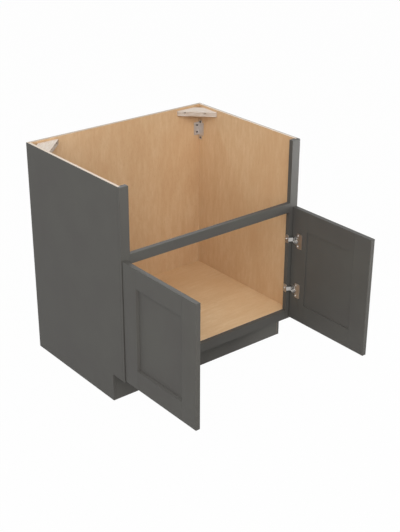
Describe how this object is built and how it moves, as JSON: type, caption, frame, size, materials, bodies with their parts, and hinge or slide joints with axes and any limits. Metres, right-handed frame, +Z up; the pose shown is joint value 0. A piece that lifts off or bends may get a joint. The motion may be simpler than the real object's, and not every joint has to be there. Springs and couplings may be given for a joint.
{
  "type": "sink base cabinet",
  "caption": "Painted face-frame base cabinet for an apron-front sink: plywood box with open top and apron front, and two shaker doors on concealed hinges.",
  "frame": {"origin": "middle of the cabinet's width, at the wall and on the floor: the rear lower edge of the back panel", "axes": "+X to the right seen from the front, +Y towards the wall (the front faces -Y), +Z up"},
  "size_m": [0.8382, 1.0214, 0.8763],
  "materials": {
    "painted_wood": "satin grey paint",
    "maple_plywood": "clear lacquered maple veneer",
    "corner_block_wood": "planed, unfinished",
    "nickel_steel": "nickel plated",
    "spring_steel": "bright",
    "zinc_steel": "zinc plated"
  },
  "bodies": {
    "cabinet": {"back_panel": "maple_plywood", "floor_panel": "maple_plywood", "toe_kick_board": "painted_wood", "frame_mid_rail": "painted_wood", "frame_bottom_rail": "painted_wood", "side_panel_left": "painted_wood", "frame_stile_left": "painted_wood", "corner_block_left": "corner_block_wood", "block_screw_back_left": "zinc_steel", "block_screw_side_left": "zinc_steel", "corner_bracket_left": "zinc_steel", "bracket_screw_back_upper_left": "zinc_steel", "bracket_screw_side_upper_left": "zinc_steel", "bracket_screw_back_lower_left": "zinc_steel", "bracket_screw_side_lower_left": "zinc_steel", "hinge_base_lower_left": "nickel_steel", "hinge_base_screw_lower_left": "zinc_steel", "hinge_arm_lower_left": "nickel_steel", "hinge_base_upper_left": "nickel_steel", "hinge_base_screw_upper_left": "zinc_steel", "hinge_arm_upper_left": "nickel_steel", "side_panel_right": "painted_wood", "frame_stile_right": "painted_wood", "corner_block_right": "corner_block_wood", "block_screw_back_right": "zinc_steel", "block_screw_side_right": "zinc_steel", "corner_bracket_right": "zinc_steel", "bracket_screw_back_upper_right": "zinc_steel", "bracket_screw_side_upper_right": "zinc_steel", "bracket_screw_back_lower_right": "zinc_steel", "bracket_screw_side_lower_right": "zinc_steel", "hinge_base_lower_right": "nickel_steel", "hinge_base_screw_lower_right": "zinc_steel", "hinge_arm_lower_right": "nickel_steel", "hinge_base_upper_right": "nickel_steel", "hinge_base_screw_upper_right": "zinc_steel", "hinge_arm_upper_right": "nickel_steel"},
    "left_door": {"door_hinge_stile_left": "painted_wood", "door_free_stile_left": "painted_wood", "door_top_rail_left": "painted_wood", "door_bottom_rail_left": "painted_wood", "door_panel_left": "painted_wood", "hinge_cup_lower_left": "nickel_steel", "hinge_pin_lower_left": "zinc_steel", "hinge_spring_lower_left": "spring_steel", "hinge_cup_upper_left": "nickel_steel", "hinge_pin_upper_left": "zinc_steel", "hinge_spring_upper_left": "spring_steel"},
    "right_door": {"door_hinge_stile_right": "painted_wood", "door_free_stile_right": "painted_wood", "door_top_rail_right": "painted_wood", "door_bottom_rail_right": "painted_wood", "door_panel_right": "painted_wood", "hinge_cup_lower_right": "nickel_steel", "hinge_pin_lower_right": "zinc_steel", "hinge_spring_lower_right": "spring_steel", "hinge_cup_upper_right": "nickel_steel", "hinge_pin_upper_right": "zinc_steel", "hinge_spring_upper_right": "spring_steel"}
  },
  "joints": [
    {"name": "left_door_hinge", "type": "hinge", "parent": "cabinet", "child": "left_door", "pos_m": [-0.4036, -0.6194, 0.36], "axis": [0, 0, -1], "range_deg": [-90, 10]},
    {"name": "right_door_hinge", "type": "hinge", "parent": "cabinet", "child": "right_door", "pos_m": [0.4036, -0.6194, 0.36], "axis": [0, 0, 1], "range_deg": [-90, 10]}
  ]
}
